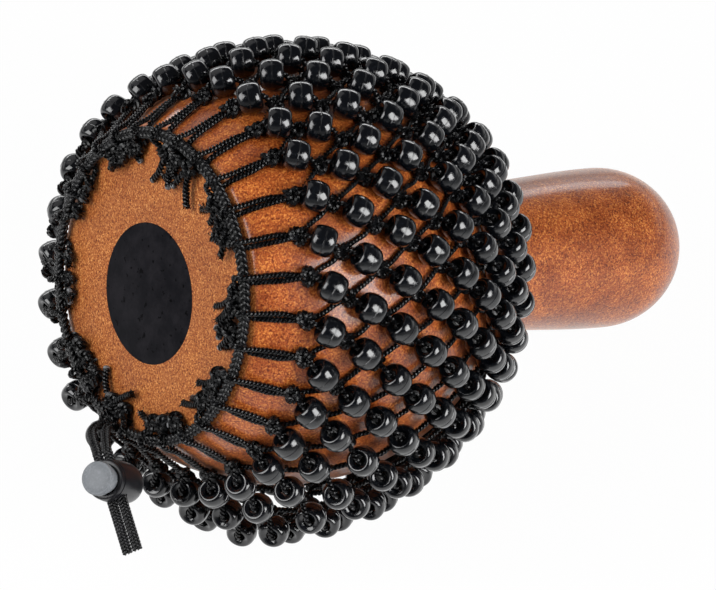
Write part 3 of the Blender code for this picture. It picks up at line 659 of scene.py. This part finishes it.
def strand(index, side):
    """Route of one of a column's two cords, from its knot at the base to its knot at the neck."""
    azimuth = column_step * (index + COLUMN_START)
    aside = BUNCH_SHIFT * (1 - index % 3)
    route = [surface_point(on_flat(TASSEL_KNOT_RADIUS), azimuth, 0.0, aside + 0.4 * side, 1.6)]
    for move in UNDER_DRAWSTRING if side > 0 else OVER_DRAWSTRING:
        route.append(surface_point(DRAWSTRING_PLACE, azimuth, *move))
    corner_move = LOW_ON_CORNER if side > 0 else HIGH_ON_CORNER
    route.append(surface_point(on_bulb(corner_end), azimuth, *corner_move))
    middle = (corner_end + knot_angles[0]) / 2
    hang = LEG_HANG * net_sag(azimuth, knot_angles[0])
    route.append(surface_point(on_bulb(middle), azimuth, 0.0, LEG_SPREAD * side, LEG_LIFT + hang))
    route.append(knot_point(0, index) + 0.25 * side * axes_at(on_bulb(knot_angles[0]), azimuth)[1])
    beads = []
    for row in range(ROWS):
        # Knots of even rows are a column's own, and those of odd rows tie it to a neighbour.
        tied = index if side > 0 else index - 1
        before, beyond = (tied, index) if row % 2 else (index, tied)
        start, end = knot_point(row, before), knot_point(row + 1, beyond)
        angle = (knot_angles[row] + knot_angles[row + 1]) / 2
        middle_azimuth = azimuth + side * column_step / 4
        normal = axes_at(on_bulb(angle), middle_azimuth)[2]
        threaded = (side > 0) == (row % 2 == 0)
        if threaded:
            lift = BEAD_LIFT + BEAD_RISE * row / (ROWS - 1) + net_sag(middle_azimuth, angle)
            along = unit(end - start)
            along = unit(along - normal * along.dot(normal))
            north = (knots[row, before % COLUMNS][2] + knots[row + 1, beyond % COLUMNS][2]) / 2
            east = (knots[row, before % COLUMNS][3] + knots[row + 1, beyond % COLUMNS][3]) / 2
            centre = surface_point(on_bulb(angle), middle_azimuth, north, east, lift)
            centre = centre + along * chance.uniform(-BEAD_SLIP, BEAD_SLIP)
            # A bead of the loose part hangs with its upper end out.
            slack = net_sag(middle_azimuth, angle) / NET_SAG
            outward = math.copysign(BEAD_DROOP * slack, -along.dot(DOWN))
            tilt = unit(along + normal * (outward + chance.uniform(-BEAD_ROCK, BEAD_ROCK)))
            route += [centre - tilt * BEAD_LENGTH / 2, centre + tilt * BEAD_LENGTH / 2]
            beads.append((centre, tilt, normal))
        else:
            across = np.cross(normal, unit(end - start))
            for share in (0.33, 0.67):
                shift = chance.uniform(-0.7, 0.7) * across + chance.uniform(-0.3, 0.5) * normal
                route.append(start + (end - start) * share + shift)
        route.append(end)
    for move in OVER_COLLAR if side > 0 else UNDER_COLLAR:
        route.append(surface_point(COLLAR_PLACE, azimuth, *move))
    route.append(surface_point(COLLAR_KNOT_PLACE, azimuth, lift=KNOT_LIFT))
    return route, beads


TASSEL_CORD = 2.5
TASSEL_LAY = 4.0
TASSEL_LIFT = 2.6
LONG_BUNCH = 3.0
LONG_KNOT_GIRTH = 1.3
SHORT_KNOT_GIRTH = 1.0
LEAST_INWARDS = 0.2
TIP_SIZE = 1.25
MELTED_SHARE = 0.22
FIBRES = 14
DROOP = np.array((1.0, 0.0, 0.0))

tip_outline = [(0.0, -0.75), (0.62, -0.55), (0.92, -0.1), (0.88, 0.3), (0.5, 0.62), (0.0, 0.7)]
tip_points, tip_faces = lathe(tip_outline, 10)
tip_skin = (tip_points[:, (2, 0, 1)], tip_faces)
fibre_section = np.array([(0.17, 0.0), (-0.09, 0.14), (-0.09, -0.14)])


def frayed_end(tip, way, normal, heap):
    """Loose fibres that stand out of a cut end of cord."""
    across = unit(np.cross(normal, way))
    for _ in range(FIBRES):
        spread = chance.uniform(-0.48, 0.48) * across + chance.uniform(-0.35, 0.35) * normal
        root = tip - 0.8 * way + 1.1 * spread
        reaches = (0.0, 0.7, chance.uniform(1.1, 1.8))
        line = np.array([root + (way + spread * reach) * reach for reach in reaches])
        heap.add(sweep(line, np.tile(np.cross(way, across), (3, 1)), fibre_section, np.zeros(3)))


def tassel(index, azimuth, heap):
    """The knot inside the drawstring and its two cut ends, which droop towards the floor."""
    place = on_flat(TASSEL_KNOT_RADIUS)
    ahead, around, normal = axes_at(place, azimuth)
    # The knots of three neighbours are drawn together, and their ends hang in one bunch.
    aside = 1 - index % 3
    reach = BUNCH_REACH[index // 3]
    centre = surface_point(place, azimuth, 0.0, BUNCH_SHIFT * aside + chance.uniform(-0.8, 0.8), TASSEL_LIFT)
    girth = LONG_KNOT_GIRTH if reach > LONG_BUNCH else SHORT_KNOT_GIRTH
    heap.add(set_down(knot_skin, centre, around + 0.6 * chance.uniform(-1, 1) * ahead, normal,
                      chance.uniform(-0.5, 0.5), girth))
    bunch = 0.35 * aside + chance.uniform(-0.2, 0.2)
    for side in (-1.0, 1.0):
        length = reach * chance.uniform(0.75, 1.15)
        lean = DROOP - 0.5 * ahead + (0.25 * side + bunch + chance.uniform(-0.2, 0.2)) * around
        # Every end lies at least a little inwards, away from the drawstring.
        outwards = lean.dot(ahead)
        lean = unit(lean + (min(-LEAST_INWARDS, outwards) - outwards) * ahead)
        bend = chance.uniform(-0.25, 0.25) * np.cross(normal, lean)
        start = centre + side * 0.9 * around
        rise = chance.uniform(-0.9, 1.8)
        route = [start, start + lean * length * 0.35 + normal * 0.3 * rise,
                 start + (lean + bend) * length * 0.7 + normal * (0.5 * rise - 0.3),
                 start + (lean + 2 * bend) * length + normal * (rise - 0.7)]
        heap.add(twisted_cord(route, TASSEL_CORD, lay=TASSEL_LAY))
        way = unit(route[-1] - route[-2])
        if chance.random() < MELTED_SHARE:
            heap.add(set_down(tip_skin, route[-1], way, normal, size=TIP_SIZE), 1)
        else:
            frayed_end(route[-1], way, normal, heap)


for index in range(COLUMNS):
    azimuth = column_step * (index + COLUMN_START)
    threads, threaded = Heap(), Heap()
    for side in (1, -1):
        route, beads = strand(index, side)
        threads.add(twisted_cord(route, NET_CORD, full_to=knot_point(0, index)))
        for centre, along, normal in beads:
            threaded.add(set_down(bead_skin, centre, along, normal, chance.uniform(-math.pi, math.pi)))
    for row in range(ROWS + 1):
        place, knot_azimuth = knots[row, index][:2]
        ahead, around, normal = axes_at(place, knot_azimuth)
        threads.add(set_down(knot_skin, knot_point(row, index, KNOT_LIFT + KNOT_STAND),
                             ahead + chance.uniform(-0.6, 0.6) * around, normal, chance.uniform(-0.4, 0.4),
                             KNOT_GIRTH if row else FIRST_KNOT_GIRTH))
    ahead, around, normal = axes_at(COLLAR_KNOT_PLACE, azimuth)
    collar_knot = surface_point(COLLAR_KNOT_PLACE, azimuth, lift=KNOT_LIFT + KNOT_STAND)
    threads.add(set_down(knot_skin, collar_knot, ahead, normal, size=COLLAR_KNOT_GIRTH))
    tassel(index, azimuth, threads)
    beads = add_piece("net_beads_%02d" % (index + 1), in_place(np.vstack(threaded.points)), threaded.faces,
                      [bead_black], "net")
    add_piece("net_cords_%02d" % (index + 1), in_place(np.vstack(threads.points)), threads.faces,
              [net_yarn, melted], "net", CORD_CREASE, threads.finish)
    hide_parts("bead_column_%02d" % (index + 1))


# The neck collar is one more twisted polyester cord, tied round the neck in the fillet below the handle.
# The net's cords are knotted over it, so that it holds the net's narrow end.

COLLAR_LIFT = 3.9
COLLAR_CORD = 2.4

route = [surface_point(COLLAR_PLACE, column_step * k / 2, lift=COLLAR_LIFT) for k in range(2 * COLUMNS)]
points, faces = twisted_cord(route, COLLAR_CORD, spacing=0.6, lay=6.0, closed=True)
collar = add_piece("neck_cord", in_place(points), faces, [net_yarn], "net", CORD_CREASE)
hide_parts("neck_collar")


# The drawstring is a flat plait of black polyester yarn that lies in the loops of the net, round the edge
# of the base. Its two ends leave it between two columns and run side by side through the cord lock.

RING_LIFT = 2.7
TAIL_SPACING = 3.6
TAIL_DIAMETER = 3.2
LOCK_PLACE = np.array((55.1, -27.8, -15.0))
LOCK_DIAMETER = 13.0
TAIL_AZIMUTH = math.radians(-58.0)
TAIL_STOPS = (2.0, 13.0, 24.0)
LOCK_CLEARANCE = 1.0
LOCK_TILT = math.radians(30.0)
PLAIT_SPACING = 0.45
RING_POINTS = 200

plait_yarn = yarn_material("plaited drawstring", (0.0012, 0.0012, 0.0015), (0.010, 0.010, 0.012), 0.21)


def plaited_cord(line, facing, yarns, half_width, half_height, thick, lay):
    """Yarns plaited flat along a line, each under and over the others."""
    tangent = unit(np.gradient(line, axis=0))
    right = unit(np.cross(tangent, facing))
    up = np.cross(right, tangent)
    lengths = np.concatenate(([0.0], np.cumsum(np.linalg.norm(np.diff(line, axis=0), axis=1))))
    turn = np.linspace(0.0, 2 * math.pi * max(1, round(lengths[-1] / lay)), len(line))
    eighths = [k * math.pi / 4 for k in range(8)]
    round_section = np.array([(thick * 0.5 * math.cos(k), thick * 0.42 * math.sin(k)) for k in eighths])
    skins = Heap()
    for yarn_number in range(yarns):
        phase = turn + 2 * math.pi * yarn_number / yarns
        middle = line + right * (half_width * np.sin(phase))[:, None]
        middle = middle + up * (half_height * np.sin(2 * phase))[:, None]
        skins.add(sweep(middle, facing, round_section, np.zeros(len(line))))
    return np.vstack(skins.points), skins.faces


exit_azimuth = (COLUMN_START - 1.5) * column_step - NET_CORD / 4 / DRAWSTRING_PLACE[0]
tail_half_angle = TAIL_SPACING / 2 / DRAWSTRING_PLACE[0]
ring_end = exit_azimuth + 2 * math.pi - tail_half_angle
ring_turns = np.linspace(exit_azimuth + tail_half_angle, ring_end, RING_POINTS)
ring_route = [surface_point(DRAWSTRING_PLACE, turn, lift=RING_LIFT) for turn in ring_turns]
ring_line = smooth_line(ring_route, PLAIT_SPACING)
ring_facing = np.array([axes_at(DRAWSTRING_PLACE, math.atan2(p[1], p[0]))[2] for p in ring_line])
points, faces = plaited_cord(ring_line, ring_facing, yarns=3, half_width=1.15, half_height=0.75,
                             thick=1.9, lay=6.0)
drawstring = add_piece("drawstring_plait", in_place(points), faces, [plait_yarn], "net",
                       CORD_CREASE)
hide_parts("drawstring")

tail_run = np.array((math.cos(TAIL_AZIMUTH), math.sin(TAIL_AZIMUTH), 0.0))
lock_lean = np.array((tail_run[1], -tail_run[0], 0.0))
lock_axis = np.array((0.0, 0.0, -math.cos(LOCK_TILT))) + lock_lean * math.sin(LOCK_TILT)
lock_across = np.cross(tail_run, lock_axis)
for name, side, bend in (("a", 1.0, (0.3, -2.1, -9.0)), ("b", -1.0, (-1.5, -1.6, -6.2))):
    straight = LOCK_PLACE + lock_across * side * TAIL_SPACING / 2
    start = surface_point(DRAWSTRING_PLACE, exit_azimuth + side * tail_half_angle,
                          lift=DRAWSTRING_LIFT + DRAWSTRING_THICK / 2)
    entry = LOCK_DIAMETER / 2 + LOCK_CLEARANCE
    route = [start, start + np.array(bend)]
    route += [straight + tail_run * stop for stop in (-entry - TAIL_DIAMETER, -entry, *TAIL_STOPS)]
    line = smooth_line(route, PLAIT_SPACING)
    points, faces = plaited_cord(line, np.tile(lock_axis, (len(line), 1)), yarns=5, half_width=1.3,
                                 half_height=0.5, thick=1.0, lay=5.5)
    tail = add_piece("tail_" + name, in_place(points), faces, [plait_yarn], "net", CORD_CREASE)
    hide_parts("drawstring_tail_" + name)


# The cord lock is a moulded barrel of satin black nylon with a slot across it, a plunger with a grey
# button, and a steel spring below the plunger. Pressing the button lines up the slots, and the spring
# pinches both ends of the drawstring when it is let go.

LOCK_ORIGIN = in_place(LOCK_PLACE)
LOCK_TURN = GOURD_TURN @ np.column_stack((lock_across, tail_run, lock_axis))
SLOT_HALF_WIDTH = 3.7
SLOT_HALF_HEIGHT = 1.9
SLOT_CUT_REACH = 12.0
PLUNGER_TRAVEL = 3.0
CHAMBER_FLOOR = -11.1
BODY_LOW = -12.7
BODY_TOP = 4.9
PLUNGER_LOW = -3.9
BUTTON_LOW = 8.2
BUTTON_TOP = 10.4
STEM_RADIUS = 4.5
BORE_RADIUS = 4.8
SPRING_WIRE = 0.7
SPRING_COIL = 3.5
SPRING_TURNS = 4
SPRING_REST = 6.6
SPRING_GAP = 0.3
LOCK_SIDES = 64
LOCK_CREASE = 35.0


def in_lock(points):
    """Points of the lock's own frame, in millimetres, where the part lies, in metres."""
    return np.asarray(points, float) * MM @ LOCK_TURN.T + LOCK_ORIGIN


def cut_slot(piece, low, high):
    """Cuts the slot that both cords pass through, with round corners, along the lock's Y."""
    corner = SLOT_HALF_HEIGHT
    side = SLOT_HALF_WIDTH - corner
    outline = []
    for x, z, quarter in ((side, low + corner, 3), (side, high - corner, 0),
                          (-side, high - corner, 1), (-side, low + corner, 2)):
        for share in [0.0] + steps(8):
            turn = (quarter + share) * math.pi / 2
            outline.append((x + corner * math.cos(turn), z + corner * math.sin(turn)))
    outline = [p for k, p in enumerate(outline) if math.dist(p, outline[k - 1]) > 1e-6]
    count = len(outline)
    points = [(x, y, z) for y in (-SLOT_CUT_REACH, SLOT_CUT_REACH) for x, z in outline]
    faces = [tuple(range(count)), tuple(range(count, 2 * count))]
    faces += [(k, (k + 1) % count, count + (k + 1) % count, count + k) for k in range(count)]
    mesh = bpy.data.meshes.new("slot cutter")
    mesh.from_pydata([tuple(p) for p in in_lock(points)], [], faces)
    turn_outwards(mesh)
    cutter = bpy.data.objects.new("slot cutter", mesh)
    bpy.context.scene.collection.objects.link(cutter)
    boolean = piece.modifiers.new("slot", "BOOLEAN")
    boolean.operation, boolean.object, boolean.solver = "DIFFERENCE", cutter, "EXACT"
    seen = piece.evaluated_get(bpy.context.evaluated_depsgraph_get())
    piece.data = bpy.data.meshes.new_from_object(seen)
    piece.modifiers.clear()
    piece.data.set_sharp_from_angle(angle=math.radians(LOCK_CREASE))
    bpy.data.objects.remove(cutter, do_unlink=True)


def moulded_material(name, deep, pale, roughness, grain_strength, grain_scale):
    """Moulded plastic with a spark-eroded grain and some scuffs."""
    material, tree, shader = new_material(name)
    finish = put(tree, "ShaderNodeGroup", {"Grain Scale": grain_scale}, node_tree=moulded)
    shades = mix_colour(tree, finish.outputs["Scuff"], (*deep, 1.0), (*pale, 1.0))
    pits = remap(tree, finish.outputs["Height"], 0.35, 0.55)
    tree.links.new(mix_colour(tree, pits, (*deep, 1.0), shades), shader.inputs["Base Color"])
    dullness = remap(tree, finish.outputs["Scuff"], 0.0, 1.0, roughness, roughness + 0.12)
    tree.links.new(dullness, shader.inputs["Roughness"])
    add_bump(tree, shader, finish.outputs["Height"], grain_strength, 0.0001)
    return material


lock_black = moulded_material("satin black nylon", (0.008, 0.008, 0.010), (0.020, 0.021, 0.024),
                              roughness=0.28, grain_strength=0.3, grain_scale=2500.0)
button_grey = moulded_material("matte grey nylon", (0.165, 0.177, 0.192), (0.270, 0.284, 0.302),
                               roughness=0.50, grain_strength=0.9, grain_scale=1500.0)

barrel_outline = [(0.0, BODY_LOW), (3.6, BODY_LOW), (4.9, BODY_LOW + 0.25), (5.8, BODY_LOW + 0.9),
                  (6.35, BODY_LOW + 2.0), (6.75, BODY_LOW + 4.2), (6.95, BODY_LOW + 7.0),
                  (7.0, BODY_LOW + 9.8), (6.9, BODY_LOW + 12.6), (6.7, BODY_LOW + 15.0),
                  (6.62, BODY_TOP - 2.0), (6.35, BODY_TOP - 1.9), (6.35, BODY_TOP - 1.5),
                  (6.55, BODY_TOP - 1.4), (6.5, BODY_TOP - 0.7), (6.25, BODY_TOP - 0.2),
                  (5.8, BODY_TOP), (5.1, BODY_TOP), (BORE_RADIUS, BODY_TOP - 0.3),
                  (BORE_RADIUS, CHAMBER_FLOOR), (0.0, CHAMBER_FLOOR)]
points, faces = lathe(barrel_outline, LOCK_SIDES)
barrel = add_piece("lock_barrel", in_lock(points), faces, [lock_black], "cord_lock",
                   LOCK_CREASE)
cut_slot(barrel, -SLOT_HALF_HEIGHT, SLOT_HALF_HEIGHT)
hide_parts("lock_body")

button_outline = [(0.0, PLUNGER_LOW), (STEM_RADIUS, PLUNGER_LOW), (STEM_RADIUS, BUTTON_LOW),
                  (5.3, BUTTON_LOW), (5.5, BUTTON_LOW + 0.2), (5.5, BUTTON_TOP - 0.6),
                  (5.33, BUTTON_TOP - 0.2), (4.95, BUTTON_TOP), (4.6, BUTTON_TOP - 0.03),
                  (4.4, BUTTON_TOP - 0.16), (2.2, BUTTON_TOP - 0.2), (0.0, BUTTON_TOP - 0.2)]
points, faces = lathe(button_outline, LOCK_SIDES)
button = add_piece("lock_push", in_lock(points), faces, [button_grey], "lock_button",
                   LOCK_CREASE)
cut_slot(button, -SLOT_HALF_HEIGHT, SLOT_HALF_HEIGHT + PLUNGER_TRAVEL)
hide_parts("lock_plunger")

steel, tree, shader = new_material("spring wire")
finish = put(tree, "ShaderNodeGroup", node_tree=moulded)
tree.links.new(mix_colour(tree, finish.outputs["Scuff"], (0.45, 0.45, 0.46, 1.0), (0.62, 0.62, 0.62, 1.0)),
               shader.inputs["Base Color"])
tree.links.new(remap(tree, finish.outputs["Height"], 0.3, 0.7, 0.22, 0.38), shader.inputs["Roughness"])
shader.inputs["Metallic"].default_value = 1.0

turns = np.linspace(0.0, 2 * math.pi * SPRING_TURNS, 24 * SPRING_TURNS + 1)
spring_low = CHAMBER_FLOOR + SPRING_GAP
heights = spring_low + SPRING_WIRE / 2 + (SPRING_REST - SPRING_WIRE) * turns / turns[-1]
coil = np.column_stack((SPRING_COIL * np.cos(turns), SPRING_COIL * np.sin(turns), heights))
tenths = [k * math.pi / 5 for k in range(10)]
wire = np.array([(SPRING_WIRE / 2 * math.cos(k), SPRING_WIRE / 2 * math.sin(k)) for k in tenths])
points, faces = sweep(coil, np.tile((0.0, 0.0, 1.0), (len(coil), 1)), wire, np.zeros(len(coil)))
spring = add_piece("lock_coil", in_lock(points), faces, [steel], "cord_lock", CORD_CREASE)
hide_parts("lock_spring")
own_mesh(spring)


# The studio: a white floor that runs into a white sweep, soft boxes at the right of the camera and far
# to the left, a strip light low behind with a weak panel above it, and a room that is dark above. The
# long lens is about 1.3 metres away.

CAMERA_AZIMUTH = math.radians(-32.85)
CAMERA_ELEVATION = math.radians(42.8)
CAMERA_DISTANCE = 1.3
PICTURE_WIDTH, PICTURE_HEIGHT = 716, 590
PIXELS_PER_MM = 3.06
BULB_PIXEL = (282.0, 275.2)
SENSOR = 36.0
STUDIO_REACH = 8.0
FLOOR_WHITE = 0.97
FLOOR_MIRRORED = 0.9
ROOM_DARK = (0.05, 0.05, 0.055, 1.0)
WHITE = (1.0, 1.0, 1.0, 1.0)

VIEW_RIGHT = Vector((math.cos(CAMERA_AZIMUTH), math.sin(CAMERA_AZIMUTH), 0.0))
VIEW_BACK = Vector((math.sin(CAMERA_AZIMUTH) * math.cos(CAMERA_ELEVATION),
                    -math.cos(CAMERA_AZIMUTH) * math.cos(CAMERA_ELEVATION), math.sin(CAMERA_ELEVATION)))
VIEW_UP = VIEW_BACK.cross(VIEW_RIGHT)

bulb_middle = Vector(in_place(bulb_centre))
camera_data = bpy.data.cameras.new("camera")
camera_data.sensor_width = SENSOR
camera_data.lens = CAMERA_DISTANCE / MM * PIXELS_PER_MM * SENSOR / PICTURE_WIDTH
camera = bpy.data.objects.new("camera", camera_data)
bpy.context.scene.collection.objects.link(camera)
aside = VIEW_RIGHT * (PICTURE_WIDTH / 2 - BULB_PIXEL[0]) + VIEW_UP * (BULB_PIXEL[1] - PICTURE_HEIGHT / 2)
towards = (VIEW_BACK * CAMERA_DISTANCE - aside * MM / PIXELS_PER_MM).normalized()
swing = VIEW_BACK.rotation_difference(towards).to_matrix()
facing = (swing @ Matrix((VIEW_RIGHT, VIEW_UP, VIEW_BACK)).transposed()).to_4x4()
camera.matrix_world = Matrix.Translation(bulb_middle + VIEW_BACK * CAMERA_DISTANCE) @ facing
bpy.context.scene.camera = camera
bpy.context.scene.view_settings.view_transform = "Standard"

floor_paint = bpy.data.materials.new("white floor")
floor_paint.use_nodes = True
tree = floor_paint.node_tree
tree.nodes.clear()
spot = put(tree, "ShaderNodeTexCoord").outputs["Object"]
pale = mix_colour(tree, noise(tree, spot, 3.0, 2.0), (0.86, 0.86, 0.86, 1.0), (0.90, 0.90, 0.90, 1.0))
lit = put(tree, "ShaderNodeBsdfDiffuse", {"Color": pale})
path = put(tree, "ShaderNodeLightPath")
# The camera sees a white floor all over. Gloss shows it white near the part and darker further out.
reach = put(tree, "ShaderNodeVectorMath", {0: spot}, operation="LENGTH").outputs["Value"]
level = put(tree, "ShaderNodeMath", {0: path.outputs["Is Camera Ray"],
                                     1: remap(tree, reach, 0.16, 0.65, 1.0, 0.2)}, operation="MAXIMUM")
glow = put(tree, "ShaderNodeEmission", {"Color": WHITE, "Strength": level.outputs[0]})
mirrored = put(tree, "ShaderNodeMath", {0: path.outputs["Is Glossy Ray"], 1: FLOOR_MIRRORED},
               operation="MULTIPLY")
share = put(tree, "ShaderNodeMath", {0: path.outputs["Is Camera Ray"], 1: FLOOR_WHITE,
                                     2: mirrored.outputs[0]}, operation="MULTIPLY_ADD")
both = put(tree, "ShaderNodeMixShader", {0: share.outputs[0], 1: lit.outputs[0], 2: glow.outputs[0]})
put(tree, "ShaderNodeOutputMaterial", {"Surface": both.outputs[0]})
floor_mesh = bpy.data.meshes.new("floor")
corners = [(x * STUDIO_REACH, y * STUDIO_REACH, 0.0) for x, y in ((-1, -1), (1, -1), (1, 1), (-1, 1))]
floor_mesh.from_pydata(corners, [], [(0, 1, 2, 3)])
floor_mesh.materials.append(floor_paint)
floor = bpy.data.objects.new("floor", floor_mesh)
bpy.context.scene.collection.objects.link(floor)

world = bpy.data.worlds.new("studio")
world.use_nodes = True
bpy.context.scene.world = world
tree = world.node_tree
tree.nodes.clear()
way = put(tree, "ShaderNodeTexCoord").outputs["Generated"]
height = put(tree, "ShaderNodeSeparateXYZ", {0: way}).outputs["Z"]
# The sweep is bright low behind the part, and fades upwards and towards the camera.
fall = put(tree, "ShaderNodeMath", {0: remap(tree, height, 0.0, 0.5, 1.0, 0.0), 1: 3.0}, operation="POWER")
away = -Vector((VIEW_BACK.x, VIEW_BACK.y, 0.0)).normalized()
behind = put(tree, "ShaderNodeVectorMath", {0: way, 1: away}, operation="DOT_PRODUCT").outputs["Value"]
sweep_glow = put(tree, "ShaderNodeMath", {0: fall.outputs[0], 1: remap(tree, behind, -0.2, 0.5, 0.25, 1.0)},
                 operation="MULTIPLY")
room = mix_colour(tree, sweep_glow.outputs[0], ROOM_DARK, WHITE)
backdrop = put(tree, "ShaderNodeBackground", {"Color": room, "Strength": 1.0})
put(tree, "ShaderNodeOutputWorld", {"Surface": backdrop.outputs[0]})

soft_boxes = [("soft box right", Vector((0.290, -0.840, 0.460)), 1.25, (0.75, 0.85), 16.0),
              ("soft box left", Vector((-0.800, 0.120, 0.590)), 1.15, (0.85, 0.85), 10.5),
              ("strip behind", Vector((0.450, 0.850, 0.220)), 1.20, (1.60, 0.22), 4.2),
              ("panel above", Vector((-0.084, 0.689, 0.715)), 1.40, (1.20, 1.20), 1.8)]
for name, way, distance, (wide, high), power in soft_boxes:
    lamp = bpy.data.lights.new(name, "AREA")
    lamp.shape = "RECTANGLE"
    lamp.size, lamp.size_y = wide, high
    lamp.energy = power
    box = bpy.data.objects.new(name, lamp)
    bpy.context.scene.collection.objects.link(box)
    way = way.normalized()
    box.location = bulb_middle + way * distance
    box.rotation_euler = way.to_track_quat("Z", "Y").to_euler()
    box.visible_camera = False
